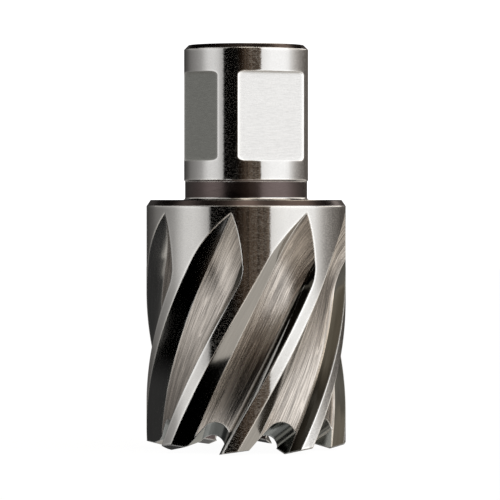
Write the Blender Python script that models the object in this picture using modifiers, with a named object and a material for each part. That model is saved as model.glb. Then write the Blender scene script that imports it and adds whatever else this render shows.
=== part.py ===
"""One-piece annular cutter, standing on its teeth with the drive shank up.

A turned blank (shank, neck, cup-shaped body with a slug bore and a pilot-pin hole) is cut by
two drive flats, eight right-hand helical flutes, eight inclined gullets and the ground ends
of eight teeth. Metres, +Z up, origin on the axis at the height of the tooth points.
"""
import math

import bmesh
import bpy
from mathutils import Vector

PART_NAME = "annular_cutter"

# Body
CUTTING_DIAMETER = 0.0306
BODY_LENGTH = 0.0383
WALL_THICKNESS = 0.0050
BORE_DEPTH = 0.0290
BORE_CORNER_RADIUS = 0.0010
SHOULDER_CHAMFER_WIDTH = 0.00065
SHOULDER_CHAMFER_HEIGHT = 0.00095

# Shank and neck
SHANK_DIAMETER = 0.01905
SHANK_LENGTH = 0.0208
SHANK_CHAMFER = 0.0007
NECK_DIAMETER = 0.01875
NECK_LENGTH = 0.0029
PILOT_HOLE_DIAMETER = 0.0064
PILOT_HOLE_CHAMFER = 0.0005

# Drive flats: the first faces the front, the second is a quarter turn clockwise from it
FLAT_DEPTHS = (0.00197, 0.00154)
FLAT_LENGTH = 0.0135
FLAT_TOP_MARGIN = 0.0042
FLAT_CORNER_RADIUS = 0.0006
FIRST_FLAT_ANGLE = math.radians(-60.0)

# Flutes, sized across the flute at right angles to the axis
FLUTE_COUNT = 8
HELIX_ANGLE = math.radians(30.0)
FLUTE_DEPTH = 0.0023
FLUTE_FLOOR_WIDTH = 0.0054
FLUTE_FLOOR_TILT = math.radians(9.0)
FLUTE_BACK_LEAN = math.radians(48.0)
FLUTE_FACE_LEAN = math.radians(51.0)
FLUTE_ROOT_RADIUS = 0.0007
FLUTE_START_ANGLE = math.radians(-87.0)
FLUTE_TOP_MARGIN = 0.0019
RUNOUT_LENGTH = 0.0048
RUNOUT_SKEW = math.radians(50.5)

# Gullets between the teeth, cut from the bore outward, upward and a little against the turning
GULLET_LEAD_ANGLE = math.radians(24.0)
GULLET_RADIUS = 0.0022
GULLET_CENTRE_HEIGHT = 0.00265
GULLET_CENTRE_OFFSET = 0.0008
GULLET_CLIMB = math.radians(38.0)
GULLET_SKEW = math.radians(29.0)
GULLET_BACK_SLOPE = math.radians(45.0)

# Tooth ends, ground in sets of four: the first three are bevelled outside, the last is full width
TOOTH_POINT_INSET = 0.0025
TOOTH_RELIEF = math.radians(8.5)
TOOTH_SHARE_OF_PITCH = 0.62
INNER_BEVEL = math.radians(15.5)
OUTER_BEVELS = (math.radians(11.0), math.radians(12.0), math.radians(13.0), math.radians(1.0))
POINT_SHIFTS_OUT = (0.0, 0.00055, 0.0, 0.0)
POINT_SHIFTS_UP = (0.0, 0.00030, 0.00025, 0.0)
GRINDING_STOCK = 0.0010

# Fineness of the faceted surfaces
TURNING_STEPS = 72
CORNER_STEPS = 3
FLOOR_STEPS = 3
ROOT_STEPS = 3
FACE_STEPS = 4
FLUTE_STEPS = 20
RUNOUT_STEPS = 15
RUNOUT_CROWDING = 1.4
GULLET_STEPS = 7
CUTTER_OVERRUN = 0.0022

# Sizes that follow from the ones above
CUTTING_RADIUS = CUTTING_DIAMETER / 2
BORE_RADIUS = CUTTING_RADIUS - WALL_THICKNESS
SHANK_RADIUS = SHANK_DIAMETER / 2
NECK_RADIUS = NECK_DIAMETER / 2
PILOT_RADIUS = PILOT_HOLE_DIAMETER / 2
NECK_TOP = BODY_LENGTH + NECK_LENGTH
OVERALL_LENGTH = NECK_TOP + SHANK_LENGTH
FLUTE_PITCH = 2 * math.pi / FLUTE_COUNT
TWIST = math.tan(HELIX_ANGLE) / CUTTING_RADIUS
POINT_RADIUS = CUTTING_RADIUS - TOOTH_POINT_INSET


def clear_scene():
    for old in list(bpy.data.objects):
        bpy.data.objects.remove(old, do_unlink=True)


def new_collection(name):
    collection = bpy.data.collections.new(name)
    bpy.context.scene.collection.children.link(collection)
    return collection


def add_object(name, mesh_builder, collection):
    """Turn a finished bmesh into an object in the given collection."""
    mesh = bpy.data.meshes.new(name)
    mesh_builder.to_mesh(mesh)
    mesh_builder.free()
    made = bpy.data.objects.new(name, mesh)
    collection.objects.link(made)
    return made


def as_cutter(made):
    made.hide_render = True
    made.display_type = "WIRE"
    return made


def arc(centre, radius, start, end, steps):
    """Points on an arc in a profile's own plane, both ends included."""
    points = []
    for step in range(steps + 1):
        angle = start + (end - start) * step / steps
        points.append((centre[0] + radius * math.cos(angle), centre[1] + radius * math.sin(angle)))
    return points


def blank_profile():
    """Half section of the turned blank as (radius, height), down the outside and up the inside."""
    stock = -GRINDING_STOCK
    step_height = SHANK_RADIUS - NECK_RADIUS
    outside = [
        (PILOT_RADIUS + PILOT_HOLE_CHAMFER, OVERALL_LENGTH),
        (SHANK_RADIUS - SHANK_CHAMFER, OVERALL_LENGTH),
        (SHANK_RADIUS, OVERALL_LENGTH - SHANK_CHAMFER),
        (SHANK_RADIUS, NECK_TOP),
        (NECK_RADIUS, NECK_TOP - step_height),
        (NECK_RADIUS, BODY_LENGTH),
        (CUTTING_RADIUS - SHOULDER_CHAMFER_WIDTH, BODY_LENGTH),
        (CUTTING_RADIUS, BODY_LENGTH - SHOULDER_CHAMFER_HEIGHT),
        (CUTTING_RADIUS, stock),
        (BORE_RADIUS, stock),
    ]
    corner_centre = (BORE_RADIUS - BORE_CORNER_RADIUS, BORE_DEPTH - BORE_CORNER_RADIUS)
    bore_corner = arc(corner_centre, BORE_CORNER_RADIUS, 0.0, math.pi / 2, CORNER_STEPS)
    pilot_hole = [
        (PILOT_RADIUS, BORE_DEPTH),
        (PILOT_RADIUS, OVERALL_LENGTH - PILOT_HOLE_CHAMFER),
    ]
    return outside + bore_corner + pilot_hole


def turned_blank(collection):
    """The blank as it leaves the lathe: a closed profile turned about the axis."""
    builder = bmesh.new()
    ring = [builder.verts.new((radius, 0.0, height)) for radius, height in blank_profile()]
    for index, vertex in enumerate(ring):
        builder.edges.new((vertex, ring[(index + 1) % len(ring)]))
    blank = add_object(PART_NAME, builder, collection)
    turning = blank.modifiers.new("Turning", "SCREW")
    turning.axis = "Z"
    turning.angle = 2 * math.pi
    turning.steps = TURNING_STEPS
    turning.render_steps = TURNING_STEPS
    turning.use_merge_vertices = True
    turning.merge_threshold = 1e-6
    turning.use_smooth_shade = False
    return blank


def loft(sections):
    """Closed solid through equal-length rings of points, capped at both ends."""
    builder = bmesh.new()
    rings = [[builder.verts.new(point) for point in section] for section in sections]
    count = len(rings[0])
    for lower, upper in zip(rings, rings[1:]):
        for index in range(count):
            following = (index + 1) % count
            builder.faces.new((lower[index], lower[following], upper[following], upper[index]))
    builder.faces.new(list(reversed(rings[0])))
    builder.faces.new(rings[-1])
    bmesh.ops.recalc_face_normals(builder, faces=builder.faces)
    return builder


def floor_lift(height, across):
    """How far the flute floor has risen where the flute runs out under the shoulder."""
    runout_top = BODY_LENGTH - FLUTE_TOP_MARGIN
    along = (height - runout_top) * math.cos(RUNOUT_SKEW) + across * math.sin(RUNOUT_SKEW)
    travel = max(0.0, along + RUNOUT_LENGTH)
    return FLUTE_DEPTH * (travel / RUNOUT_LENGTH) ** 2


def smooth_greater(first, second, blend):
    """The greater of two values, rounded where they meet."""
    return (first + second + math.sqrt((first - second) ** 2 + blend ** 2)) / 2


def flute_section(height):
    """Section of the flute's void as (outward, across) from the valley line of its floor."""
    outer = CUTTING_RADIUS + CUTTER_OVERRUN
    valley = CUTTING_RADIUS - FLUTE_DEPTH
    corner = valley - FLUTE_FLOOR_WIDTH * math.tan(FLUTE_FLOOR_TILT)
    face_reach = (outer - corner) * math.tan(FLUTE_FACE_LEAN)

    def level(across):
        floor = valley - across * math.tan(FLUTE_FLOOR_TILT) + floor_lift(height, across)
        face = corner + (across - FLUTE_FLOOR_WIDTH) / math.tan(FLUTE_FACE_LEAN)
        return min(smooth_greater(floor, face, FLUTE_ROOT_RADIUS / 2), outer)

    stations = [FLUTE_FLOOR_WIDTH * step / FLOOR_STEPS for step in range(FLOOR_STEPS)]
    stations += [FLUTE_FLOOR_WIDTH + FLUTE_ROOT_RADIUS * (2 * step / ROOT_STEPS - 1)
                 for step in range(ROOT_STEPS + 1)]
    stations += [FLUTE_FLOOR_WIDTH + FLUTE_ROOT_RADIUS
                 + (face_reach - FLUTE_ROOT_RADIUS) * step / FACE_STEPS
                 for step in range(1, FACE_STEPS + 1)]
    back_reach = (outer - level(0.0)) * math.tan(FLUTE_BACK_LEAN)
    lid = outer + CUTTER_OVERRUN
    section = [(lid, -back_reach), (outer, -back_reach)]
    section += [(level(across), across) for across in stations]
    return section + [(lid, stations[-1])]


def flute_heights():
    """Heights of the loft's sections, closer together towards the end of the run-out."""
    bottom = -GRINDING_STOCK - CUTTER_OVERRUN
    top = BODY_LENGTH - FLUTE_TOP_MARGIN / 2
    runout_bottom = BODY_LENGTH - FLUTE_TOP_MARGIN - 2 * RUNOUT_LENGTH
    plain = [bottom + (runout_bottom - bottom) * step / FLUTE_STEPS for step in range(FLUTE_STEPS)]
    runout = [top - (top - runout_bottom) * (1 - step / RUNOUT_STEPS) ** RUNOUT_CROWDING
              for step in range(RUNOUT_STEPS + 1)]
    return plain + runout


def flute_cutter(index, collection):
    """Helical void of one flute, lofted up the helix."""
    sections = []
    for height in flute_heights():
        turn = FLUTE_START_ANGLE + index * FLUTE_PITCH + height * TWIST
        outward = Vector((math.cos(turn), math.sin(turn), 0.0))
        sideways = Vector((-math.sin(turn), math.cos(turn), 0.0))
        lift = Vector((0.0, 0.0, height))
        sections.append([outward * out + sideways * across + lift
                         for out, across in flute_section(height)])
    return as_cutter(add_object("flute_cutter_%d" % (index + 1), loft(sections), collection))


def tooth_frame(index):
    """Outward and forward directions at the cutting point of one tooth."""
    turn = FLUTE_START_ANGLE + GULLET_LEAD_ANGLE + index * FLUTE_PITCH
    outward = Vector((math.cos(turn), math.sin(turn), 0.0))
    sideways = Vector((-math.sin(turn), math.cos(turn), 0.0))
    return outward, sideways


def gullet_profile():
    """Gullet outline as (across, height): rake line, rounded root and sloping back."""
    lean = POINT_RADIUS * TWIST
    bottom = -GRINDING_STOCK - CUTTER_OVERRUN - TOOTH_POINT_INSET * math.tan(GULLET_CLIMB)
    # The rake line (across = lean * height) leaves the rounded root at this height
    square = 1 + lean * lean
    half = GULLET_CENTRE_HEIGHT - lean * GULLET_CENTRE_OFFSET
    rest = GULLET_CENTRE_OFFSET ** 2 + GULLET_CENTRE_HEIGHT ** 2 - GULLET_RADIUS ** 2
    meet = (half + math.sqrt(half * half - square * rest)) / square
    start = math.atan2(meet - GULLET_CENTRE_HEIGHT, lean * meet + GULLET_CENTRE_OFFSET)
    end = math.pi / 2 + GULLET_BACK_SLOPE
    centre = (-GULLET_CENTRE_OFFSET, GULLET_CENTRE_HEIGHT)
    root = arc(centre, GULLET_RADIUS, start, end, GULLET_STEPS)
    drop = root[-1][1] - bottom
    back_foot = (root[-1][0] - drop / math.tan(GULLET_BACK_SLOPE), bottom)
    return [(lean * bottom, bottom)] + root + [back_foot]


def gullet_cutter(index, collection):
    """Prism that runs through the wall in front of one tooth, inner end low and leading."""
    outward, sideways = tooth_frame(index)
    sections = []
    for radius in (BORE_RADIUS - CUTTER_OVERRUN, CUTTING_RADIUS + CUTTER_OVERRUN):
        climb = (radius - POINT_RADIUS) * math.tan(GULLET_CLIMB)
        drift = (radius - POINT_RADIUS) * math.tan(GULLET_SKEW)
        corner = outward * radius + sideways * drift + Vector((0.0, 0.0, climb))
        sections.append([corner + sideways * across + Vector((0.0, 0.0, height))
                         for across, height in gullet_profile()])
    return as_cutter(add_object("gullet_cutter_%d" % (index + 1), loft(sections), collection))


def tooth_end_cutter(index, collection):
    """Prism under one tooth: relieved behind the edge, bevelled to either side of its point."""
    outward, sideways = tooth_frame(index)
    place = index % len(OUTER_BEVELS)
    point_radius = POINT_RADIUS + POINT_SHIFTS_OUT[place]
    point_height = POINT_SHIFTS_UP[place]
    inner = BORE_RADIUS - CUTTER_OVERRUN
    outer = CUTTING_RADIUS + CUTTER_OVERRUN
    under = -GRINDING_STOCK - CUTTER_OVERRUN
    profile = [
        (inner, under),
        (inner, point_height + (point_radius - inner) * math.tan(INNER_BEVEL)),
        (point_radius, point_height),
        (outer, point_height + (outer - point_radius) * math.tan(OUTER_BEVELS[place])),
        (outer, under),
    ]
    sections = []
    for across in (-CUTTER_OVERRUN, TOOTH_SHARE_OF_PITCH * POINT_RADIUS * FLUTE_PITCH):
        climb = across * math.tan(TOOTH_RELIEF)
        sections.append([outward * radius + sideways * across + Vector((0.0, 0.0, height + climb))
                         for radius, height in profile])
    return as_cutter(add_object("tooth_end_cutter_%d" % (index + 1), loft(sections), collection))


def flat_cutter(index, collection):
    """Box that mills one drive flat, its two inner end edges rounded like the milling tool."""
    depth = FLAT_DEPTHS[index]
    angle = FIRST_FLAT_ANGLE - index * math.pi / 2
    floor = SHANK_RADIUS - depth
    thickness = depth + CUTTER_OVERRUN
    builder = bmesh.new()
    bmesh.ops.create_cube(builder, size=1.0)
    bmesh.ops.scale(builder, verts=builder.verts, vec=(thickness, SHANK_DIAMETER, FLAT_LENGTH))
    end_edges = [edge for edge in builder.edges
                 if all(vertex.co.x < 0 for vertex in edge.verts)
                 and abs(edge.verts[0].co.z - edge.verts[1].co.z) < 1e-9]
    bmesh.ops.bevel(builder, geom=end_edges, offset=FLAT_CORNER_RADIUS, segments=CORNER_STEPS,
                    profile=0.5, affect="EDGES")
    cutter = add_object("flat_cutter_%d" % (index + 1), builder, collection)
    reach = floor + thickness / 2
    middle = OVERALL_LENGTH - FLAT_TOP_MARGIN - FLAT_LENGTH / 2
    cutter.location = (reach * math.cos(angle), reach * math.sin(angle), middle)
    cutter.rotation_euler = (0.0, 0.0, angle)
    return as_cutter(cutter)


def ground_steel():
    material = bpy.data.materials.new("ground high-speed steel")
    material.use_nodes = True
    shader = material.node_tree.nodes["Principled BSDF"]
    shader.inputs["Base Color"].default_value = (0.56, 0.54, 0.51, 1.0)
    shader.inputs["Roughness"].default_value = 0.28
    shader.inputs["Metallic"].default_value = 1.0
    return material


def cut(blank, cutter):
    difference = blank.modifiers.new(cutter.name, "BOOLEAN")
    difference.operation = "DIFFERENCE"
    difference.solver = "EXACT"
    difference.object = cutter


def main():
    clear_scene()
    parts = new_collection("Annular cutter")
    cutters = new_collection("Cutting tools")
    blank = turned_blank(parts)
    blank.data.materials.append(ground_steel())
    for index in range(len(FLAT_DEPTHS)):
        cut(blank, flat_cutter(index, cutters))
    for index in range(FLUTE_COUNT):
        cut(blank, flute_cutter(index, cutters))
    for index in range(FLUTE_COUNT):
        cut(blank, gullet_cutter(index, cutters))
    for index in range(FLUTE_COUNT):
        cut(blank, tooth_end_cutter(index, cutters))


main()
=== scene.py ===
import math

import bmesh
import bpy
import numpy as np
from bpy.props import FloatProperty, FloatVectorProperty, IntProperty, PointerProperty
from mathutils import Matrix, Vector


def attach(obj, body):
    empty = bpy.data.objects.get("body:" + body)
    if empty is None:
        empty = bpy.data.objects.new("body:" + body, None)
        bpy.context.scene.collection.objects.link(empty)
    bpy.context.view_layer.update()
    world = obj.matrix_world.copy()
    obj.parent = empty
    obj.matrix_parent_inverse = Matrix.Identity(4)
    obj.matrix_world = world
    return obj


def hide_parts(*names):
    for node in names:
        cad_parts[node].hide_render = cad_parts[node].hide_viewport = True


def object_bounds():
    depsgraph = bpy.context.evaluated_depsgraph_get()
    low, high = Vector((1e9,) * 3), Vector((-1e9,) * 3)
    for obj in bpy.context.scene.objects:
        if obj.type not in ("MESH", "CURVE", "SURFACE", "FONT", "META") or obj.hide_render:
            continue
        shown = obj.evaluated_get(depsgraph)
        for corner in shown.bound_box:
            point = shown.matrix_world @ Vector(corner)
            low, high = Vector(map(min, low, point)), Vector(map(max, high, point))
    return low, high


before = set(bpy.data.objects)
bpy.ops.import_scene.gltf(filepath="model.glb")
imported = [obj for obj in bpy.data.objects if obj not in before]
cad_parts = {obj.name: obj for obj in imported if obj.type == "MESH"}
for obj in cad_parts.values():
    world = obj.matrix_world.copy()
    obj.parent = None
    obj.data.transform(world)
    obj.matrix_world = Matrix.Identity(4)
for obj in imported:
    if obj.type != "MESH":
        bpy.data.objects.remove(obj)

bl_info = {
    "name": "Annular Cutter",
    "version": (1, 0, 0),
    "blender": (4, 5, 0),
    "location": "3D View > Sidebar > Cutter",
    "description": "Builds a one-piece annular cutter, its steel finishes and its studio",
    "category": "Add Mesh",
}

NODE = "annular_cutter"
BODY = "root"
CAD_LOW, CAD_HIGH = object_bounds()
MM = 0.001

# Zones of the surface, in the order of the material slots
ZONES = ("land", "shank", "browned", "end_face", "bore", "flat", "side_flat", "back_wall",
         "floor", "face_wall", "honed_strip", "gullet", "relief")
TURNED_ZONES = ("land", "shank", "browned", "end_face", "bore")
FLUTED_ZONES = ("back_wall", "floor", "face_wall", "honed_strip")

# Edges of the honed strip in shares of the face wall's width
HONE_INNER, HONE_STEP = 0.17, 0.09
HONE_OUTER, HONE_SPREAD = 0.18, 0.28
HONE_SHARE = 0.4               # share of the honing lean in the strip's own slope

TOOL_CLEARANCE = 0.3 * MM      # how far a flute's void passes the cutting diameter
TOOL_LID = 0.4 * MM            # thickness of the void's lid outside that
RUNOUT_CROWDING = 1.4          # crowds the sections towards the tip of the run-out

FLUTE_MIDDLE = math.radians(10.0)      # middle of a flute, past its valley line
SMOOTHING_ANGLE = math.radians(20.0)   # a gullet's faces smooth together below this angle
NUDGE = 0.008 * MM             # how far inside its face a corner is when its normal is taken
FLAT_ROUNDNESS = 0.2           # how much a drive flat's corner rounding shows in its normals

FLUTE_SEAM = 0.63              # turns the seam of the flutes' grain into a land, in radians
SOFT_EDGE = 0.3 * MM           # rounding that light finds on every edge
# Near-white colour painted along edges as a highlight
HIGHLIGHT_STEEL = (0.99, 0.98, 0.96)


# The helpers below keep the property lists short

def size(name, text, value):
    return FloatProperty(name=name, description=text, default=value, subtype="DISTANCE",
                         unit="LENGTH", precision=5)


def lean(name, text, degrees):
    return FloatProperty(name=name, description=text, default=math.radians(degrees),
                         subtype="ANGLE", unit="ROTATION")


def steps(name, text, value):
    return IntProperty(name=name, description=text, default=value, min=1)


def factor(name, text, value):
    return FloatProperty(name=name, description=text, default=value, subtype="FACTOR",
                         min=0.0, max=1.0)


def tint(name, text, value):
    return FloatVectorProperty(name=name, description=text, default=value, subtype="COLOR",
                               size=3, min=0.0, max=1.0)


class BlankSizes(bpy.types.PropertyGroup):
    """Sizes of the turned blank."""

    cutting_diameter: size("Cutting diameter", "Diameter over the teeth", CAD_HIGH.x - CAD_LOW.x)
    overall_length: size("Overall length", "Tooth points to shank end", CAD_HIGH.z - CAD_LOW.z)
    body_length: size("Body length", "Tooth points to shoulder", 0.0383)
    wall: size("Wall thickness", "Wall of the cup before the flutes are cut", 0.0050)
    bore_depth: size("Bore depth", "Depth of the slug bore", 0.0290)
    bore_corner: size("Bore corner radius", "Fillet at the bore's end", 0.0010)
    shoulder_width: size("Shoulder chamfer width", "Radial width of the chamfer", 0.00065)
    shoulder_height: size("Shoulder chamfer height", "Height of the chamfer", 0.00095)
    shank_diameter: size("Shank diameter", "Standard drive shank", 0.01905)
    shank_chamfer: size("Shank chamfer", "Chamfer at the shank's end", 0.0007)
    shank_break: size("Shank edge break", "Broken edge over the neck", 0.00010)
    neck_diameter: size("Neck diameter", "Neck between shank and body", 0.01875)
    neck_length: size("Neck length", "Length of the neck", 0.0029)
    neck_fillet: size("Neck fillet", "Fillet at the foot of the neck", 0.00035)
    pilot_diameter: size("Pilot hole diameter", "Hole for the pilot pin", 0.0064)
    pilot_chamfer: size("Pilot hole chamfer", "Chamfer of that hole", 0.0005)
    turning_steps: steps("Turning steps", "Facets round the axis", 240)
    corner_steps: steps("Corner steps", "Facets of a small fillet", 5)


class FlatSizes(bpy.types.PropertyGroup):
    """Sizes of the two drive flats."""

    front_depth: size("Front flat depth", "Depth of the first flat", 0.00197)
    side_depth: size("Side flat depth", "Depth of the second flat", 0.00154)
    length: size("Flat length", "Length along the shank", 0.0135)
    top_margin: size("Top margin", "Shank end to the flats", 0.0042)
    corner: size("Corner radius", "Radius that the milling tool leaves", 0.0006)
    first_angle: lean("First flat angle", "Direction that the first flat faces", -60.0)


class FluteSizes(bpy.types.PropertyGroup):
    """Sizes of the flutes, across the flute at right angles to the axis."""

    count: steps("Flutes", "Number of flutes and teeth", 8)
    helix: lean("Helix angle", "Angle of the helix at the cutting diameter", 30.0)
    depth: size("Depth", "Depth at the valley line", 0.0023)
    floor_width: size("Floor width", "Valley line to root", 0.0054)
    floor_tilt: lean("Floor tilt", "Fall of the floor towards the root", 9.0)
    back_lean: lean("Back lean", "Lean of the wall behind a tooth", 48.0)
    hollow: lean("Hollow", "How much the wheel hollows the wall behind a tooth", 8.0)
    hollow_top: lean("Hollow at the top", "The same near the run-out", 14.5)
    face_lean: lean("Face lean", "Lean of the cutting face", 51.0)
    root: size("Root radius", "Rounding between floor and face", 0.00030)
    start: lean("Start angle", "Valley line of the first flute at the tooth points", -87.0)
    top_margin: size("Top margin", "Shoulder to the tip of the run-out", 0.0019)
    runout: size("Run-out length", "Length over which the wheel leaves the steel", 0.0048)
    runout_skew: lean("Run-out skew", "Slant of the run-out", 50.5)
    hone_height: size("Honing height", "Where the honed strip of the face begins", 0.0225)
    hone_lean: lean("Honing lean", "Lean of the honed strip", 60.0)
    hone_round: lean("Honing rounding", "How much the honed strip rounds over to the land", 14.0)
    floor_steps: steps("Floor steps", "Facets across the floor", 8)
    root_steps: steps("Root steps", "Facets across the root", 8)
    length_steps: steps("Length steps", "Sections below the run-out", 56)
    runout_steps: steps("Run-out steps", "Sections along the run-out", 60)


class ToothSizes(bpy.types.PropertyGroup):
    """Sizes of the gullets and the ground tooth ends."""

    lead: lean("Lead angle", "Cutting point ahead of the valley line", 24.0)
    radius: size("Gullet radius", "Radius of the gullet's root", 0.0022)
    centre_height: size("Centre height", "Height of the root's centre", 0.00265)
    centre_offset: size("Centre offset", "Root's centre ahead of the cutting point", 0.0008)
    climb: lean("Climb", "Rise of the gullet towards the outside", 38.0)
    skew: lean("Skew", "Sideways run of the gullet", 29.0)
    back_slope: lean("Back slope", "Slope of the gullet's back", 45.0)
    inset: size("Point inset", "Cutting point inside the cutting diameter", 0.0025)
    relief: lean("Relief", "Relief behind the edge", 8.5)
    share: factor("Tooth share", "Tooth end's share of the pitch", 0.62)
    inner_bevel: lean("Inner bevel", "Slope from the point to the bore", 15.5)
    stock: size("Grinding stock", "Steel ground off the tooth ends", 0.0010)
    gullet_steps: steps("Gullet steps", "Facets round a gullet's root", 20)
    overrun: size("Cutter overrun", "How far a cutting tool passes the steel", 0.0022)


class SteelColours(bpy.types.PropertyGroup):
    """Colours and gloss of the finishes."""

    ground: tint("Ground steel", "Lands and walls", (0.672, 0.660, 0.640))
    polished: tint("Polished steel", "Shank and front flat", (0.728, 0.720, 0.708))
    dulled: tint("Dulled steel", "Side flat", (0.600, 0.615, 0.580))
    # Painted shade: the cutting faces get a near-black colour that stands in for the shade and dark
    # reflections inside the flutes
    painted_face_shade: tint("Filmed steel", "Cutting faces, dark from hardening", (0.084, 0.078, 0.066))
    brushed: tint("Brushed steel", "Floors of the flutes", (0.535, 0.490, 0.446))
    browned: tint("Browned steel", "Neck and chamfers", (0.132, 0.104, 0.100))
    ground_gloss: factor("Ground roughness", "Roughness of the lands and the shank", 0.05)
    brushed_gloss: factor("Brushed roughness", "Roughness of the flute floors", 0.25)
    browned_gloss: factor("Browned roughness", "Roughness of the browned steel", 0.24)


class StudioSettings(bpy.types.PropertyGroup):
    """Camera and light of the studio."""

    distance: size("Camera distance", "Camera to the cutter's axis", 0.550)
    eye_height: size("Camera height", "Height of the level camera", 0.0383)
    view_width: size("View width", "Width of the view at the cutter's axis", 0.0768)
    aim_right: size("Aim right", "Middle of the picture, to the right of the axis", 0.0006)
    aim_height: size("Aim height", "Middle of the picture, above the tooth points", 0.0306)
    floor_size: size("Floor size", "Side of the pale floor", 3.0)
    shadow: factor("Shadow", "How much of its shadow the floor keeps", 0.12)


# Each tooth of a set of four: outer bevel in degrees, shift of its point outward and upward,
# and whether its face has the honed strip
TOOTH_SET = (
    (11.0, 0.0, 0.0, False),
    (12.0, 0.00055, 0.00030, False),
    (13.0, 0.0, 0.00025, False),
    (1.0, 0.0, 0.0, True),
)


class CutterShape:
    """Radii and angles that follow from the properties."""

    def __init__(self, scene):
        self.blank = scene.cutter_blank
        self.flats = scene.cutter_flats
        self.flutes = scene.cutter_flutes
        self.teeth = scene.cutter_teeth
        self.radius = self.blank.cutting_diameter / 2
        self.bore = self.radius - self.blank.wall
        self.shank = self.blank.shank_diameter / 2
        self.neck = self.blank.neck_diameter / 2
        self.pilot = self.blank.pilot_diameter / 2
        self.pitch = 2 * math.pi / self.flutes.count
        self.twist = math.tan(self.flutes.helix) / self.radius
        self.point = self.radius - self.teeth.inset
        self.valley = self.radius - self.flutes.depth
        self.corner = self.valley - self.flutes.floor_width * math.tan(self.flutes.floor_tilt)

    def lift(self, height, across):
        """Rise of the flute's floor where the wheel runs out under the shoulder."""
        flutes = self.flutes
        top = self.blank.body_length - flutes.top_margin
        skew = flutes.runout_skew
        along = (height - top) * math.cos(skew) + across * math.sin(skew)
        travel = np.maximum(0.0, along + flutes.runout)
        return flutes.depth * (travel / flutes.runout) ** 2

    def hone_edges(self, height):
        """Inner and outer edge of the honed strip, as across positions on the cutting face."""
        flutes = self.flutes
        wall = (self.radius - self.corner) * math.tan(flutes.face_lean)
        down = np.clip((flutes.hone_height - height) / flutes.hone_height, 0.0, 1.0)
        stepped = np.clip((down - 0.45) / 0.2, 0.0, 1.0)
        spread = np.minimum(1.0, down / 0.6) ** 1.6
        inner = HONE_INNER + HONE_STEP * stepped
        outer = np.maximum(inner, HONE_OUTER + HONE_SPREAD * spread)
        return flutes.floor_width + inner * wall, flutes.floor_width + outer * wall

    def face_level(self, height, across):
        """Height of the cutting face above the axis: wall, honed strip and wall again."""
        flutes = self.flutes
        steep = 1 / math.tan(flutes.face_lean)
        eased = (1 - HONE_SHARE) * flutes.face_lean + HONE_SHARE * flutes.hone_lean
        easy = 1 / math.tan(eased)
        inner, outer = self.hone_edges(height)
        on_strip = np.clip(across - inner, 0.0, outer - inner)
        return self.corner + (across - flutes.floor_width) * steep - on_strip * (steep - easy)

    def level(self, height, across, lifted=True):
        """Distance of the flute's surface from the axis, in the direction of the valley line."""
        flutes = self.flutes
        ahead = np.maximum(across, 0.0)
        floor = self.valley - ahead * math.tan(flutes.floor_tilt)
        if lifted:
            floor = floor + self.lift(height, ahead)
        face = self.face_level(height, ahead)
        blend = flutes.root / 2
        surface = (floor + face + np.sqrt((floor - face) ** 2 + blend ** 2)) / 2
        return surface - np.minimum(across, 0.0) / math.tan(flutes.back_lean)


# Mesh helpers

def loft(rings, zones, cap_zone):
    """Closed solid through equal rings of points; zones names the strip after each point."""
    builder = bmesh.new()
    rows = [[builder.verts.new(point) for point in ring] for ring in rings]
    count = len(rows[0])
    for lower, upper in zip(rows, rows[1:]):
        for index in range(count):
            after = (index + 1) % count
            quad = builder.faces.new((lower[index], lower[after], upper[after], upper[index]))
            quad.material_index = ZONES.index(zones[index])
    for end in (list(reversed(rows[0])), rows[-1]):
        builder.faces.new(end).material_index = ZONES.index(cap_zone)
    bmesh.ops.recalc_face_normals(builder, faces=builder.faces)
    return builder


def arc(centre, radius, start, end, count):
    """Points on an arc, both ends included."""
    angles = [start + (end - start) * step / count for step in range(count + 1)]
    return [(centre[0] + radius * math.cos(a), centre[1] + radius * math.sin(a)) for a in angles]


def joined(builders):
    """One bmesh that holds all the given ones."""
    whole = bmesh.new()
    for builder in builders:
        part = bpy.data.meshes.new("part")
        builder.to_mesh(part)
        builder.free()
        whole.from_mesh(part)
        bpy.data.meshes.remove(part)
    return whole


def turned_blank(shape):
    """The blank as it leaves the lathe, with a zone on each turned surface."""
    blank = shape.blank
    top = blank.overall_length
    neck_top = blank.body_length + blank.neck_length
    foot = blank.body_length
    fillet = blank.neck_fillet
    edge = blank.shank_break
    stock = -shape.teeth.stock
    outline = [
        ((shape.pilot + blank.pilot_chamfer, top), "end_face"),
        ((shape.shank - blank.shank_chamfer, top), "browned"),
        ((shape.shank, top - blank.shank_chamfer), "shank"),
        ((shape.shank, neck_top + edge), "browned"),
        ((shape.shank - edge, neck_top), "browned"),
        ((shape.neck, neck_top - (shape.shank - edge - shape.neck)), "browned"),
    ]
    foot_arc = arc((shape.neck + fillet, foot + fillet), fillet, math.pi, 1.5 * math.pi,
                   blank.corner_steps)
    outline += [(point, "land") for point in foot_arc[:-1]] + [(foot_arc[-1], "browned")]
    outline += [
        ((shape.radius - blank.shoulder_width, foot), "browned"),
        ((shape.radius, foot - blank.shoulder_height), "land"),
        ((shape.radius, stock), "relief"),
        ((shape.bore, stock), "bore"),
    ]
    corner = blank.bore_corner
    bore_arc = arc((shape.bore - corner, blank.bore_depth - corner), corner, 0.0, math.pi / 2,
                   blank.corner_steps)
    outline += [(point, "bore") for point in bore_arc]
    outline += [
        ((shape.pilot, blank.bore_depth), "bore"),
        ((shape.pilot, top - blank.pilot_chamfer), "end_face"),
    ]
    builder = bmesh.new()
    count = blank.turning_steps
    rows = []
    for step in range(count):
        angle = 2 * math.pi * step / count
        rows.append([builder.verts.new((r * math.cos(angle), r * math.sin(angle), z))
                     for (r, z), zone in outline])
    for step in range(count):
        row, following = rows[step], rows[(step + 1) % count]
        for index, (point, zone) in enumerate(outline):
            after = (index + 1) % len(outline)
            quad = builder.faces.new((row[index], row[after], following[after], following[index]))
            quad.material_index = ZONES.index(zone)
    bmesh.ops.recalc_face_normals(builder, faces=builder.faces)
    return builder


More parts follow.
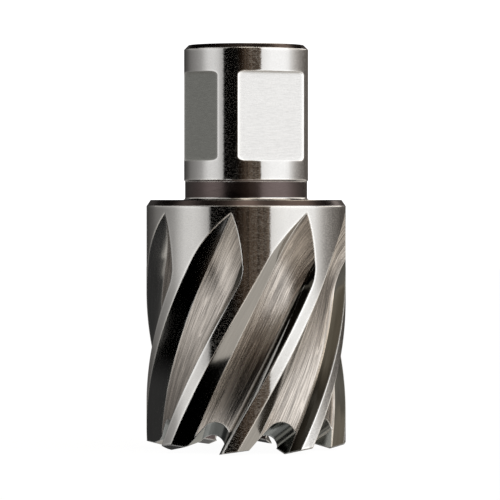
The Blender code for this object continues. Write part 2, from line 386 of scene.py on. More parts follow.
def flute_section(shape, height, honed):
    """Section of a flute's void as (outward, across) points, each with the zone that follows."""
    flutes = shape.flutes
    outer = shape.radius + TOOL_CLEARANCE
    lid = outer + TOOL_LID
    inner_edge, outer_edge = (float(value) for value in shape.hone_edges(height))
    root = flutes.root
    width = flutes.floor_width
    stations = [((width - root) * step / flutes.floor_steps, "floor")
                for step in range(flutes.floor_steps)]
    stations += [(width + root * (2 * step / flutes.root_steps - 1), "floor")
                 for step in range(flutes.root_steps)]
    face_reach = (outer - shape.corner) * math.tan(flutes.face_lean)
    stations += [
        (width + root, "face_wall"),
        (max(width + root * 1.01, inner_edge), "honed_strip" if honed else "face_wall"),
        (max(width + root * 1.02, outer_edge + 1e-6), "face_wall"),
        (width + face_reach, "face_wall"),
    ]
    levels = [min(float(shape.level(height, across)), outer) for across, zone in stations]
    back = (outer - levels[0]) * math.tan(flutes.back_lean)
    section = [((lid, -back), "back_wall"), ((outer, -back), "back_wall")]
    section += [((level, across), zone) for level, (across, zone) in zip(levels, stations)]
    return section + [((lid, stations[-1][0]), "face_wall")]


def flute_heights(shape):
    """Heights of the flute's sections, closest at the tip of the run-out."""
    flutes = shape.flutes
    bottom = -shape.teeth.stock - shape.teeth.overrun
    top = shape.blank.body_length - flutes.top_margin / 2
    start = shape.blank.body_length - flutes.top_margin - 2 * flutes.runout
    plain = [bottom + (start - bottom) * step / flutes.length_steps
             for step in range(flutes.length_steps)]
    runout = [top - (top - start) * (1 - step / flutes.runout_steps) ** RUNOUT_CROWDING
              for step in range(flutes.runout_steps + 1)]
    return plain + runout


def axis_frame(angle):
    """Outward and sideways directions at an angle about the axis."""
    outward = Vector((math.cos(angle), math.sin(angle), 0.0))
    sideways = Vector((-math.sin(angle), math.cos(angle), 0.0))
    return outward, sideways


def flute_tool(shape, index):
    """The void of one flute, lofted up its helix."""
    honed = TOOTH_SET[index % len(TOOTH_SET)][-1]
    rings = []
    for height in flute_heights(shape):
        turn = shape.flutes.start + index * shape.pitch + height * shape.twist
        outward, sideways = axis_frame(turn)
        section = flute_section(shape, height, honed)
        rings.append([outward * out + sideways * across + Vector((0.0, 0.0, height))
                      for (out, across), zone in section])
    zones = [zone for point, zone in section]
    return loft(rings, zones, "floor")


def tooth_frame(shape, index):
    """Outward and sideways directions at one tooth's cutting point."""
    return axis_frame(shape.flutes.start + shape.teeth.lead + index * shape.pitch)


def gullet_profile(shape):
    """Gullet outline as (across, height): rake line, rounded root and sloping back."""
    teeth = shape.teeth
    rake = shape.point * shape.twist
    bottom = -teeth.stock - teeth.overrun - teeth.inset * math.tan(teeth.climb)
    # The rake line (across = rake * height) leaves the rounded root at this height
    square = 1 + rake * rake
    half = teeth.centre_height - rake * teeth.centre_offset
    rest = teeth.centre_offset ** 2 + teeth.centre_height ** 2 - teeth.radius ** 2
    meet = (half + math.sqrt(half * half - square * rest)) / square
    start = math.atan2(meet - teeth.centre_height, rake * meet + teeth.centre_offset)
    centre = (-teeth.centre_offset, teeth.centre_height)
    root = arc(centre, teeth.radius, start, math.pi / 2 + teeth.back_slope, teeth.gullet_steps)
    drop = root[-1][1] - bottom
    foot = (root[-1][0] - drop / math.tan(teeth.back_slope), bottom)
    return [(rake * bottom, bottom)] + root + [foot]


def gullet_tool(shape, index):
    """Prism that opens the wall in front of one tooth, rising outward."""
    teeth = shape.teeth
    outward, sideways = tooth_frame(shape, index)
    profile = gullet_profile(shape)
    rings = []
    for radius in (shape.bore - teeth.overrun, shape.radius + teeth.overrun):
        climb = (radius - shape.point) * math.tan(teeth.climb)
        drift = (radius - shape.point) * math.tan(teeth.skew)
        corner = outward * radius + sideways * drift + Vector((0.0, 0.0, climb))
        rings.append([corner + sideways * across + Vector((0.0, 0.0, height))
                      for across, height in profile])
    return loft(rings, ["gullet"] * len(profile), "gullet")


def tooth_end_tool(shape, index):
    """Prism under one tooth: relieved behind the edge, bevelled to either side of its point."""
    teeth = shape.teeth
    outward, sideways = tooth_frame(shape, index)
    bevel, out, up, honed = TOOTH_SET[index % len(TOOTH_SET)]
    point = shape.point + out
    inner = shape.bore - teeth.overrun
    outer = shape.radius + teeth.overrun
    under = -teeth.stock - teeth.overrun
    profile = [
        (inner, under),
        (inner, up + (point - inner) * math.tan(teeth.inner_bevel)),
        (point, up),
        (outer, up + (outer - point) * math.tan(math.radians(bevel))),
        (outer, under),
    ]
    rings = []
    for across in (-teeth.overrun, teeth.share * shape.point * shape.pitch):
        climb = across * math.tan(teeth.relief)
        rings.append([outward * radius + sideways * across + Vector((0.0, 0.0, height + climb))
                      for radius, height in profile])
    return loft(rings, ["relief"] * len(profile), "relief")


def flat_tool(shape, index):
    """Box that mills one drive flat, its inner edges rounded like the milling tool."""
    flats = shape.flats
    depth = (flats.front_depth, flats.side_depth)[index]
    angle = flats.first_angle - index * math.pi / 2
    floor = shape.shank - depth
    thickness = depth + shape.teeth.overrun
    middle = shape.blank.overall_length - flats.top_margin - flats.length / 2
    builder = bmesh.new()
    bmesh.ops.create_cube(builder, size=1.0)
    bmesh.ops.scale(builder, verts=builder.verts,
                    vec=(thickness, shape.blank.shank_diameter, flats.length))
    ends = [edge for edge in builder.edges
            if all(vertex.co.x < 0 for vertex in edge.verts)
            and abs(edge.verts[0].co.z - edge.verts[1].co.z) < 1e-9]
    bmesh.ops.bevel(builder, geom=ends, offset=flats.corner, segments=shape.blank.corner_steps,
                    profile=0.5, affect="EDGES")
    outward, sideways = axis_frame(angle)
    for vertex in builder.verts:
        x, y, z = vertex.co
        rise = Vector((0.0, 0.0, z + middle))
        vertex.co = outward * (x + floor + thickness / 2) + sideways * y + rise
    for face in builder.faces:
        face.material_index = ZONES.index(("flat", "side_flat")[index])
    return builder


def as_object(name, builder):
    """A scene object with one material slot for each zone."""
    mesh = bpy.data.meshes.new(name)
    builder.to_mesh(mesh)
    builder.free()
    made = bpy.data.objects.new(name, mesh)
    bpy.context.scene.collection.objects.link(made)
    for zone in ZONES:
        mesh.materials.append(bpy.data.materials.get(zone) or bpy.data.materials.new(zone))
    return made


def machined(shape, name):
    """The blank after milling, fluting, gulleting and grinding, as one mesh object."""
    cutter = as_object(name, turned_blank(shape))
    count = range(shape.flutes.count)
    operations = (
        ("milling", [flat_tool(shape, index) for index in range(2)]),
        ("fluting", [flute_tool(shape, index) for index in count]),
        ("gulleting", [gullet_tool(shape, index) for index in count]),
        ("grinding", [tooth_end_tool(shape, index) for index in count]),
    )
    tools = []
    for operation, builders in operations:
        tool = as_object(operation + "_tool", joined(builders))
        tools.append(tool)
        cut = cutter.modifiers.new(operation, "BOOLEAN")
        cut.operation = "DIFFERENCE"
        cut.solver = "EXACT"
        cut.object = tool
    ready = cutter.evaluated_get(bpy.context.evaluated_depsgraph_get())
    mesh = bpy.data.meshes.new_from_object(ready)
    rough = cutter.data
    cutter.modifiers.clear()
    cutter.data = mesh
    bpy.data.meshes.remove(rough)
    for tool in tools:
        tool_mesh = tool.data
        bpy.data.objects.remove(tool)
        bpy.data.meshes.remove(tool_mesh)
    return cutter


def turned_normals(points, centre, normal):
    """The faces' normals, swung round the axis to where each corner stands."""
    reach = np.hypot(centre[:, 0], centre[:, 1])
    radial = (normal[:, 0] * centre[:, 0] + normal[:, 1] * centre[:, 1]) / reach
    angle = np.arctan2(points[:, 1], points[:, 0])
    return np.stack([radial * np.cos(angle), radial * np.sin(angle), normal[:, 2]], 1)


def flute_normals(shape, points):
    """Normals of the fluted surface, from its slopes across and along the flute."""
    flutes = shape.flutes
    height = points[:, 2]
    phase = np.arctan2(points[:, 1], points[:, 0]) - flutes.start - height * shape.twist
    index = np.round((phase - FLUTE_MIDDLE) / shape.pitch)
    turn = flutes.start + index * shape.pitch + height * shape.twist
    cosine, sine = np.cos(turn), np.sin(turn)
    outward = points[:, 0] * cosine + points[:, 1] * sine
    across = -points[:, 0] * sine + points[:, 1] * cosine
    step = 2e-6
    slope_across = (shape.level(height, across + step)
                    - shape.level(height, across - step)) / (2 * step)
    # The wall behind a tooth is hollow, most of all near the run-out
    body = shape.blank.body_length
    upper = np.clip((height - 0.45 * body) / (0.3 * body), 0.0, 1.0)
    hollow = flutes.hollow + (flutes.hollow_top - flutes.hollow) * upper
    back_slope = -1 / np.tan(flutes.back_lean + hollow)
    slope_across = np.where(across > 0, slope_across, back_slope)
    # The honed strip is slightly round, from the wall to the land
    inner, outer = shape.hone_edges(height)
    share = np.clip((across - inner) / np.maximum(outer - inner, 1e-6), 0.0, 1.0)
    rounded = 1 / np.tan(flutes.hone_lean + flutes.hone_round * share)
    tooth_of = np.mod(index, len(TOOTH_SET)).astype(int)
    honed = np.array([tooth[-1] for tooth in TOOTH_SET])[tooth_of]
    honed = honed & (across > inner) & (across < outer)
    slope_across = np.where(honed, rounded, slope_across)
    slopes_up = [(shape.level(height + step, across, lifted)
                  - shape.level(height - step, across, lifted)) / (2 * step)
                 for lifted in (True, False)]
    slope_up = np.where(across > 0, *slopes_up)
    upward = across * shape.twist + slope_across * outward * shape.twist - slope_up
    return np.stack([cosine + slope_across * sine, sine - slope_across * cosine, upward], 1)


def read(elements, name, kind, width=1):
    """One attribute of all the given elements, as an array with a row for each."""
    values = np.empty(len(elements) * width, kind)
    elements.foreach_get(name, values)
    return values if width == 1 else values.reshape(-1, width).astype(float)


def in_zones(zone, names):
    """Which of the face corners lie in the named zones."""
    return np.isin(zone, [ZONES.index(name) for name in names])


def smooth_surfaces(cutter, shape):
    """Gives every face corner the true normal of the surface that it was cut by."""
    mesh = cutter.data
    faces = mesh.polygons
    vertex_of = read(mesh.loops, "vertex_index", np.int32)
    points = read(mesh.vertices, "co", np.float32, 3)[vertex_of]
    face_of = np.repeat(np.arange(len(faces)), read(faces, "loop_total", np.int32))
    zone = read(faces, "material_index", np.int32)[face_of]
    centre = read(faces, "center", np.float32, 3)[face_of]
    normal = read(faces, "normal", np.float32, 3)[face_of]
    turned = in_zones(zone, TURNED_ZONES)
    normal[turned] = turned_normals(points[turned], centre[turned], normal[turned])
    # A corner is nudged inside its own face, so that it takes that side's slope
    inward = centre - points
    reach = np.linalg.norm(inward, axis=1, keepdims=True)
    nudged = points + inward * np.minimum(0.02, NUDGE / np.maximum(reach, 1e-9))
    fluted = in_zones(zone, FLUTED_ZONES)
    normal[fluted] = flute_normals(shape, nudged[fluted])
    for index, name in enumerate(("flat", "side_flat")):
        milled = zone == ZONES.index(name)
        outward = axis_frame(shape.flats.first_angle - index * math.pi / 2)[0]
        normal[milled] *= FLAT_ROUNDNESS
        normal[milled] += (1 - FLAT_ROUNDNESS) * np.array(outward)
    gullet = zone == ZONES.index("gullet")
    normal[gullet] = averaged(vertex_of[gullet], normal[gullet])
    normal /= np.linalg.norm(normal, axis=1, keepdims=True)
    faces.foreach_set("use_smooth", np.ones(len(faces), bool))
    mesh.normals_split_custom_set(normal.tolist())


def averaged(vertex_of, normal):
    """Normals averaged over the corners that share a vertex and differ by a small angle."""
    order = np.argsort(vertex_of, kind="stable")
    result = normal.copy()
    starts = np.flatnonzero(np.r_[True, np.diff(vertex_of[order]) != 0])
    for begin, end in zip(starts, np.r_[starts[1:], len(order)]):
        group = order[begin:end]
        alike = normal[group] @ normal[group].T > math.cos(SMOOTHING_ANGLE)
        result[group] = alike @ normal[group]
    return result


# Shader maths

class Wire:
    """A node's output that adds its own Math nodes when it is used in a sum."""

    def __init__(self, bench, socket):
        self.bench = bench
        self.socket = socket

    def maths(self, operation, *others):
        node = self.bench.add("ShaderNodeMath", {"operation": operation})
        for socket, value in zip(node.inputs, (self, *others)):
            self.bench.feed(socket, value)
        return Wire(self.bench, node.outputs[0])

    def __add__(self, other):
        return self.maths("ADD", other)

    __radd__ = __add__

    def __mul__(self, other):
        return self.maths("MULTIPLY", other)

    __rmul__ = __mul__

    def __sub__(self, other):
        return self.maths("SUBTRACT", other)

    def __rsub__(self, other):
        return (self * -1.0) + other

    def __truediv__(self, other):
        return self.maths("DIVIDE", other)


class Bench:
    """A node tree under construction."""

    def __init__(self, tree):
        self.tree = tree
        tree.nodes.clear()

    def feed(self, socket, value):
        if isinstance(value, Wire):
            self.tree.links.new(value.socket, socket)
        elif isinstance(value, bpy.types.NodeSocket):
            self.tree.links.new(value, socket)
        else:
            if hasattr(value, "__len__") and socket.type == "RGBA" and len(value) == 3:
                value = (*value, 1.0)
            socket.default_value = value

    def add(self, kind, settings=None, **sockets):
        """Adds a node: its settings first, then the values or links of its sockets."""
        node = self.tree.nodes.new(kind)
        for name, value in (settings or {}).items():
            setattr(node, name, value)
        for name, value in sockets.items():
            self.feed(node.inputs[name.replace("_", " ")], value)
        return node

    def wire(self, node, output=0):
        return Wire(self, node.outputs[output])

    def xyz(self, vector):
        node = self.add("ShaderNodeSeparateXYZ", Vector=vector)
        return [Wire(self, output) for output in node.outputs]

    def vector(self, x, y, z):
        return self.wire(self.add("ShaderNodeCombineXYZ", X=x, Y=y, Z=z))

    def noise(self, vector, scale, detail=2.0, roughness=0.5):
        node = self.add("ShaderNodeTexNoise", Vector=vector, Scale=scale, Detail=detail,
                        Roughness=roughness)
        return self.wire(node, "Fac")

    def between(self, value, low, high, interpolation="SMOOTHSTEP"):
        """0 below low, 1 above high, smooth between them."""
        node = self.add("ShaderNodeMapRange", {"interpolation_type": interpolation},
                        Value=value, From_Min=low, From_Max=high, To_Min=0.0, To_Max=1.0)
        return self.wire(node)

    def window(self, value, low, high, soft):
        """1 between low and high, fading to 0 over a soft margin outside."""
        return self.between(value, low - soft, low) * (1 - self.between(value, high, high + soft))

    def blend(self, amount, first, second):
        """A colour between two colours."""
        node = self.add("ShaderNodeMix", {"data_type": "RGBA"})
        for index, value in ((0, amount), (6, first), (7, second)):
            self.feed(node.inputs[index], value)
        return Wire(self, node.outputs[2])

    def shaded(self, colour, amount):
        """A colour made lighter or darker by an amount round 1."""
        node = self.add("ShaderNodeVectorMath", {"operation": "SCALE"}, Vector=colour, Scale=amount)
        return self.wire(node)


class Steel(Bench):
    """A steel finish: the coordinates that its grain follows, and its shader."""

    def __init__(self, name, shape):
        material = bpy.data.materials[name]
        material.use_nodes = True
        super().__init__(material.node_tree)
        self.shape = shape
        self.position = self.wire(self.add("ShaderNodeTexCoord"), "Object")
        self.x, self.y, self.z = self.xyz(self.position)

    def contrast(self, value, width):
        """Noise spread over the whole range from 0 to 1."""
        return self.between(value, 0.5 - width, 0.5 + width, "LINEAR")

    def lathe_lines(self, scale, stretch):
        """Noise drawn out round the axis, as turning and grinding leave it."""
        return self.noise(self.vector(self.x, self.y, self.z * stretch), scale, 3.0, 0.6)

    def flute_lines(self, scale, stretch):
        """Noise drawn out along the helix of the flutes; its seam lies in a land."""
        turned = self.add("ShaderNodeVectorRotate", {"rotation_type": "Z_AXIS"},
                          Vector=self.position,
                          Angle=self.z * -self.shape.twist - FLUTE_SEAM)
        x, y, z = self.xyz(self.wire(turned))
        around = y.maths("ARCTAN2", x) * self.shape.valley
        return self.noise(self.vector(around, 0.0, z / stretch), scale, 3.0, 0.6)

    def finish(self, colour, roughness, grain, depth, edge=SOFT_EDGE, rounded=True, highlight_strength=1.0,
               lay=0.0):
        """Principled steel with its grain as a bump, its edges softened, and a bright highlight
        painted into its colour along the edges.

        edge is the width of the painted edge highlight and the argument after rounded its strength;
        lay draws reflections out.
        """
        softened = self.wire(self.add("ShaderNodeBevel", {"samples": 8}, Radius=SOFT_EDGE))
        # This bevel only finds the edges where the highlight is painted
        highlight_bevel = self.wire(self.add("ShaderNodeBevel", {"samples": 8}, Radius=edge))
        true = self.wire(self.add("ShaderNodeNewGeometry"), "Normal")
        turned = self.add("ShaderNodeVectorMath", {"operation": "DOT_PRODUCT"})
        self.feed(turned.inputs[0], highlight_bevel)
        self.feed(turned.inputs[1], true)
        # Painted highlight: the colour turns near-white where the bevelled normal leaves the true
        # one, along every edge
        painted_highlight = highlight_strength * (1 - self.between(self.wire(turned, "Value"), 0.975, 0.9995, "LINEAR"))
        colour = self.blend(painted_highlight, colour, HIGHLIGHT_STEEL)
        shader = self.add("ShaderNodeBsdfPrincipled", Base_Color=colour, Roughness=roughness,
                          Metallic=1.0, Anisotropic=lay, Anisotropic_Rotation=0.25)
        bump = self.add("ShaderNodeBump", Height=grain, Strength=1.0, Distance=depth,
                        Normal=softened if rounded else true)
        self.feed(shader.inputs["Normal"], self.wire(bump))
        output = self.add("ShaderNodeOutputMaterial")
        self.tree.links.new(shader.outputs[0], output.inputs["Surface"])


def ground_finish(name, shape, colour, gloss, coarse=1.0):
    """Cylindrically ground steel: fine lines round the axis, a faint mottle and specks."""
    steel = Steel(name, shape)
    lines = steel.lathe_lines(1500.0, 4.0)
    mottle = steel.contrast(steel.noise(steel.position, 4200.0, 2.0), 0.12)
    cloud = steel.noise(steel.position, 420.0, 2.0)
    flattened = steel.vector(steel.x, steel.y, steel.z * 2.2)
    speck = coarse * steel.contrast(steel.noise(flattened, 2600.0, 1.0), 0.10)
    shade = steel.shaded(tuple(colour), 0.93 + 0.03 * mottle + 0.04 * speck + 0.10 * (cloud - 0.5))
    grain = 0.5 * lines + 0.20 * speck
    steel.finish(shade, gloss + 0.065 * speck, grain, 5.0e-6, edge=0.0008, lay=1.0)


def brushed_finish(name, shape, colours):
    """Floor of a flute: streaks of the grinding wheel along the helix."""
    steel = Steel(name, shape)
    fine = steel.contrast(steel.flute_lines(4200.0, 24.0), 0.12)
    broad = steel.contrast(steel.flute_lines(1600.0, 26.0), 0.14)
    grit = steel.contrast(steel.noise(steel.position, 5200.0, 2.0), 0.2)
    ridge = (steel.flute_lines(800.0, 24.0) - 0.5).maths("ABSOLUTE")
    scratch = 1 - steel.between(ridge, 0.004, 0.018, "LINEAR")
    streaks = 0.36 + 0.56 * fine + 0.44 * broad + 0.16 * grit + 0.60 * scratch
    colour = steel.shaded(tuple(colours.brushed), streaks.maths("MINIMUM", 1.4))
    steel.finish(colour, colours.brushed_gloss + 0.10 * (broad - 0.5), fine + 0.5 * grit, 6.5e-6)


# The last argument sets the strength of the painted edge highlight
def wall_finish(name, shape, colour, roughness, highlight_strength=0.6):
    """Walls of a flute: smoother, with fine lines along the helix."""
    steel = Steel(name, shape)
    fine = steel.contrast(steel.flute_lines(4200.0, 20.0), 0.2)
    shade = steel.shaded(tuple(colour), 0.84 + 0.16 * fine)
    steel.finish(shade, roughness + 0.04 * (fine - 0.5), fine, 1.0e-6, highlight_strength=highlight_strength)


def browned_finish(name, shape, colours):
    """Heat-browned steel of the neck and the chamfers, with turning lines."""
    steel = Steel(name, shape)
    lines = steel.contrast(steel.lathe_lines(900.0, 16.0), 0.22)
    cloud = steel.noise(steel.position, 420.0, 3.0)
    colour = steel.shaded(tuple(colours.browned), 0.70 + 0.34 * lines + 0.3 * cloud)
    steel.finish(colour, colours.browned_gloss + 0.1 * (cloud - 0.5), lines, 2.0e-6)


def milled_finish(name, shape, colour):
    """Drive flats: level lines of the milling tool."""
    steel = Steel(name, shape)
    lines = steel.noise(steel.vector(steel.x, steel.y, steel.z * 9.0), 700.0, 4.0, 0.6)
    lines = steel.contrast(lines, 0.2)
    grit = steel.contrast(steel.noise(steel.position, 4600.0, 2.0), 0.25)
    shade = steel.shaded(tuple(colour), 0.80 + 0.18 * lines + 0.08 * grit)
    steel.finish(shade, 0.2 + 0.08 * lines, lines, 3.0e-6, edge=0.0011, rounded=False)


def finish_steel(shape, colours):
    """Gives each zone of the surface its finish."""
    ground_finish("land", shape, colours.ground, colours.ground_gloss)
    ground_finish("shank", shape, colours.polished, colours.ground_gloss)
    ground_finish("end_face", shape, colours.ground, 0.2, coarse=0.2)
    browned_finish("browned", shape, colours)
    browned_finish("bore", shape, colours)
    milled_finish("flat", shape, colours.polished)
    milled_finish("side_flat", shape, colours.dulled)
    brushed_finish("floor", shape, colours)
    wall_finish("back_wall", shape, colours.ground, 0.11)
    # The cutting faces' near-black colour is painted shade, with only a weak painted edge highlight
    wall_finish("face_wall", shape, colours.painted_face_shade, 0.16, highlight_strength=0.2)
    wall_finish("honed_strip", shape, colours.polished, 0.22)
    # Painted shade: the gullets' colour is darkened to 0.55 of the dulled steel
    wall_finish("gullet", shape, [0.55 * part for part in colours.dulled], 0.2)
    # Painted shade: the relieved undersides of the teeth are darkened to half the ground steel
    wall_finish("relief", shape, [0.5 * part for part in colours.ground], 0.2)


class CUTTER_OT_make_cutter(bpy.types.Operator):
    """Turn the blank, cut flats, flutes and gullets, grind the teeth and finish the steel"""

    bl_idname = "annular_cutter.make_cutter"
    bl_label = "Make the cutter"

    def execute(self, context):
        shape = CutterShape(context.scene)
        cutter = machined(shape, "ground_cutter")
        smooth_surfaces(cutter, shape)
        finish_steel(shape, context.scene.cutter_colours)
        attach(cutter, BODY)
        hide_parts(NODE)
        return {"FINISHED"}


# Brightness of the studio round the horizon, from behind the cutter on the left, past the
# camera at 0 degrees, to behind the cutter on the right
HORIZON = (
    (-180.0, 0.10), (-158.0, 0.040), (-138.0, 0.09), (-126.0, 0.16),
    (-105.0, 0.25), (-92.0, 0.34), (-84.0, 0.49), (-75.0, 0.66), (-63.0, 0.69),
    (-54.0, 0.62), (-45.0, 0.45), (-42.8, 0.30), (-41.6, 0.002), (-25.0, 0.001),
    (-17.0, 0.004), (-9.0, 0.006), (-5.0, 0.022), (0.0, 0.036), (18.0, 0.048), (25.0, 0.070),
    (27.4, 0.13), (28.4, 0.82), (36.0, 0.93), (48.0, 1.03), (76.0, 1.03), (85.0, 0.96),
    (91.0, 0.74), (98.0, 0.54), (108.0, 0.36), (120.0, 0.22), (142.0, 0.10), (180.0, 0.10),
)


# Dim cards round the cutter: turn from and to, rise from and to, softness, colour
CARDS = (
    (-180.0, -112.0, -14.0, -5.0, 3.0, (0.17, 0.162, 0.155)),
    (-86.0, -48.0, -21.0, -12.0, 1.5, (0.52, 0.50, 0.465)),
    (-96.0, -84.0, -19.0, -10.0, 1.5, (0.42, 0.40, 0.37)),
    (-140.0, -85.0, 14.0, 22.0, 2.0, (0.38, 0.37, 0.35)),
    (-50.0, 15.0, -16.5, -11.0, 1.5, (0.50, 0.46, 0.41)),
    (4.0, 54.0, -23.5, -12.0, 1.0, (0.62, 0.57, 0.51)),
    (15.0, 54.0, -12.0, -7.5, 2.0, (0.42, 0.39, 0.35)),
    (6.0, 27.0, 6.5, 19.0, 2.0, (0.32, 0.29, 0.25)),
    (10.0, 27.0, -8.0, -6.5, 1.5, (0.25, 0.22, 0.19)),
    (94.0, 150.0, 6.5, 24.0, 1.5, (0.95, 0.90, 0.84)),
    (99.0, 150.0, -12.0, -6.0, 1.5, (0.80, 0.76, 0.70)),
    (79.0, 97.0, -20.0, -5.6, 1.2, (0.26, 0.24, 0.21)),
    (53.0, 180.0, -39.0, -12.0, 3.0, (0.42, 0.395, 0.36)),
    (-108.0, -38.0, 25.0, 50.0, 4.0, (0.42, 0.41, 0.39)),
    (-10.0, 60.0, 37.0, 45.0, 2.5, (1.0, 0.97, 0.92)),
    (-60.0, -25.0, -56.0, -44.0, 2.0, (0.35, 0.34, 0.32)),
)


def warmth(angle):
    """How warm the light is: cool on the left, warmest round the camera."""
    if angle < -16.0:
        return 0.015
    return 0.105 if angle < 28.0 else 0.05


def horizon_light(bench, direction, turn, rise):
    """Lights and black cards round the horizon, and a mask of all above their foot."""
    # The left black card leans, away from the level of the lens
    tilt = (rise - 5.0).maths("MAXIMUM", 0.0) + (rise + 5.0).maths("MINIMUM", 0.0)
    left = 1 - bench.between(turn, -32.0, -20.0)
    ramp = bench.add("ShaderNodeValToRGB", Fac=(turn + tilt * left * 1.3 + 180.0) / 360.0)
    stops = ramp.color_ramp.elements
    for index, (angle, level) in enumerate(HORIZON):
        place = (angle + 180.0) / 360.0
        stop = stops[index] if index < 2 else stops.new(place)
        stop.position = place
        warm = warmth(angle)
        stop.color = (level ** (1 - warm), level, level ** (1 + warm), 1.0)
    # The brown curtain round the camera is mottled
    mottle = bench.between(bench.noise(direction, 34.0, 1.0, 0.6), 0.42, 0.58, "LINEAR")
    curtain = bench.window(turn, -6.0, 27.0, 1.0)
    band = bench.shaded(bench.wire(ramp), 1 + curtain * (mottle * 1.7 - 0.85))
    # Below the level of the lens the left light is stronger, and the right one weaker behind
    sunk = 1 - bench.between(rise, -2.6, -1.2)
    band = bench.shaded(band, 1 + sunk * bench.window(turn, -84.0, -48.0, 5.0) * 0.15)
    sunk = 1 - bench.between(rise, -1.0, 1.0)
    band = bench.shaded(band, 1 - sunk * bench.between(turn, 92.0, 106.0) * 0.36)
    # How high and how low the lights reach
    right = bench.between(turn, 20.0, 30.0)
    top = 20.0 + right * 22.0 - bench.between(turn, 90.0, 102.0) * 22.0
    upper = 1 - bench.between(rise - top, -4.0, 4.0)
    far_left = 1 - bench.between(turn, -45.0, -37.0)
    bottom = -26.0 - bench.between(turn, 52.0, 62.0) * 12.0 + far_left * 9.0
    lower = bench.between(rise - bottom, -3.0, 3.0)
    return bench.shaded(band, upper * lower), lower


def outer_light(bench, turn, rise, lower):
    """Weak light from straight above, warm, and from below."""
    ahead = bench.window(turn, -14.0, 20.0, 12.0)
    ceiling = bench.between(rise, 40.0, 46.0) * bench.between(turn, -50.0, 0.0) * 0.75
    above = bench.between(rise, 58.0, 66.0)
    ceiling = ceiling * (1 - above) + above * (0.06 + ahead)
    below = (1 - bench.between(rise, -50.0, -46.0)) * bench.between(turn, 64.0, 95.0) * 0.24
    below = below + (1 - bench.between(rise, -70.0, -62.0)) * 0.3
    behind = bench.between(turn.maths("ABSOLUTE"), 105.0, 125.0)
    below = below + bench.window(rise, -66.0, -34.0, 3.0) * behind * 0.22
    below = below + (1 - lower) * (1 - bench.between(turn, -75.0, -45.0)) * 0.03
    return bench.vector(ceiling + below, ceiling * 0.90 + below, ceiling * 0.76 + below)


def studio_world():
    """A dark room with a wide soft light on either side and black cards between them."""
    world = bpy.data.worlds.new("studio")
    world.use_nodes = True
    bench = Bench(world.node_tree)
    direction = bench.wire(bench.add("ShaderNodeTexCoord"), "Generated")
    x, y, z = bench.xyz(direction)
    turn = x.maths("ARCTAN2", y * -1.0) * (180 / math.pi)
    rise = z.maths("ARCSINE") * (180 / math.pi)
    band, lower = horizon_light(bench, direction, turn, rise)
    for turn_from, turn_to, rise_from, rise_to, soft, colour in CARDS:
        wide = bench.window(turn, turn_from, turn_to, soft)
        high = bench.window(rise, rise_from, rise_to, soft)
        band = bench.blend(wide * high, band, colour)
    light = bench.add("ShaderNodeVectorMath", {"operation": "ADD"})
    bench.feed(light.inputs[0], band)
    bench.feed(light.inputs[1], outer_light(bench, turn, rise, lower))
    # The camera itself sees plain white
    seen = bench.wire(bench.add("ShaderNodeLightPath"), "Is Camera Ray")
    colour = bench.blend(seen, bench.wire(light), (1.0, 1.0, 1.0))
    background = bench.add("ShaderNodeBackground", Color=colour, Strength=1.25)
    output = bench.add("ShaderNodeOutputWorld")
    bench.tree.links.new(background.outputs[0], output.inputs["Surface"])
    return world


def pale_floor(settings):
    """A pale floor that keeps a trace of the cutter's shadow."""
    half = settings.floor_size / 2
    builder = bmesh.new()
    corners = [builder.verts.new((x, y, 0.0)) for x, y in
               ((-half, -half), (half, -half), (half, half), (-half, half))]
    builder.faces.new(corners)
    mesh = bpy.data.meshes.new("floor_sheet")
    builder.to_mesh(mesh)
    builder.free()
    floor = bpy.data.objects.new("floor_sheet", mesh)
    bpy.context.scene.collection.objects.link(floor)
    material = bpy.data.materials.new("pale_floor")
    material.use_nodes = True
    bench = Bench(material.node_tree)
    matt = bench.add("ShaderNodeBsdfDiffuse", Color=(0.9, 0.9, 0.9))
    white = bench.add("ShaderNodeEmission", Color=(1.0, 1.0, 1.0), Strength=1.1)
    seen = bench.wire(bench.add("ShaderNodeLightPath"), "Is Camera Ray")
    mix = bench.add("ShaderNodeMixShader")
    bench.feed(mix.inputs[0], seen * (1.0 - settings.shadow))
    bench.feed(mix.inputs[1], matt.outputs[0])
    bench.feed(mix.inputs[2], white.outputs[0])
    output = bench.add("ShaderNodeOutputMaterial")
    bench.tree.links.new(mix.outputs[0], output.inputs["Surface"])
    mesh.materials.append(material)
    floor.visible_glossy = False


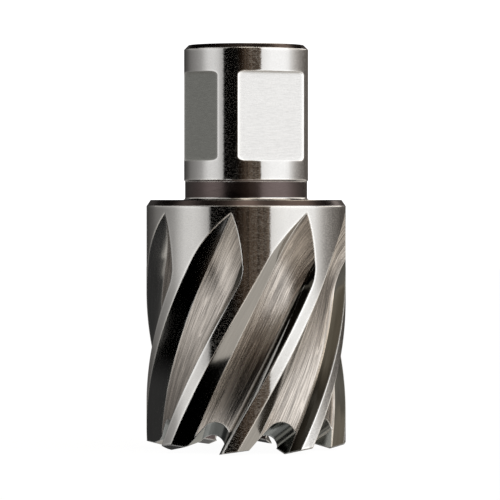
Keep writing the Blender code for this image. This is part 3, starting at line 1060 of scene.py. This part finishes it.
def studio_camera(settings):
    """A long lens at the height of the cutter's shoulder, aimed at the middle of the cutter."""
    data = bpy.data.cameras.new("camera")
    camera = bpy.data.objects.new("camera", data)
    bpy.context.scene.collection.objects.link(camera)
    data.sensor_width = 36.0
    data.lens = data.sensor_width * settings.distance / settings.view_width
    data.clip_start = 0.01
    data.clip_end = 10.0
    camera.location = (0.0, -settings.distance, settings.eye_height)
    aim = Vector((settings.aim_right, 0.0, settings.aim_height)) - camera.location
    camera.rotation_euler = aim.to_track_quat("-Z", "Y").to_euler()
    bpy.context.scene.camera = camera


class CUTTER_OT_set_stage(bpy.types.Operator):
    """Set the floor, the studio's light and the camera"""

    bl_idname = "annular_cutter.set_stage"
    bl_label = "Set the stage"

    def execute(self, context):
        settings = context.scene.cutter_studio
        pale_floor(settings)
        context.scene.world = studio_world()
        studio_camera(settings)
        context.scene.view_settings.view_transform = "Standard"
        return {"FINISHED"}


class CUTTER_PT_sidebar(bpy.types.Panel):
    """The cutter's steps, in order"""

    bl_idname = "CUTTER_PT_sidebar"
    bl_label = "Annular cutter"
    bl_space_type = "VIEW_3D"
    bl_region_type = "UI"
    bl_category = "Cutter"

    def draw(self, context):
        for operator in OPERATORS:
            self.layout.operator(operator.bl_idname)


OPERATORS = (CUTTER_OT_make_cutter, CUTTER_OT_set_stage)
GROUPS = {
    "cutter_blank": BlankSizes,
    "cutter_flats": FlatSizes,
    "cutter_flutes": FluteSizes,
    "cutter_teeth": ToothSizes,
    "cutter_colours": SteelColours,
    "cutter_studio": StudioSettings,
}


def register():
    for group in GROUPS.values():
        bpy.utils.register_class(group)
    for name, group in GROUPS.items():
        setattr(bpy.types.Scene, name, PointerProperty(type=group))
    for operator in OPERATORS:
        bpy.utils.register_class(operator)
    bpy.utils.register_class(CUTTER_PT_sidebar)


def unregister():
    bpy.utils.unregister_class(CUTTER_PT_sidebar)
    for operator in reversed(OPERATORS):
        bpy.utils.unregister_class(operator)
    for name in GROUPS:
        delattr(bpy.types.Scene, name)
    for group in reversed(GROUPS.values()):
        bpy.utils.unregister_class(group)


def main():
    """Builds the cutter and its stage in order."""
    register()
    for operator in OPERATORS:
        group, name = operator.bl_idname.split(".")
        getattr(getattr(bpy.ops, group), name)()


if __name__ == "__main__":
    main()
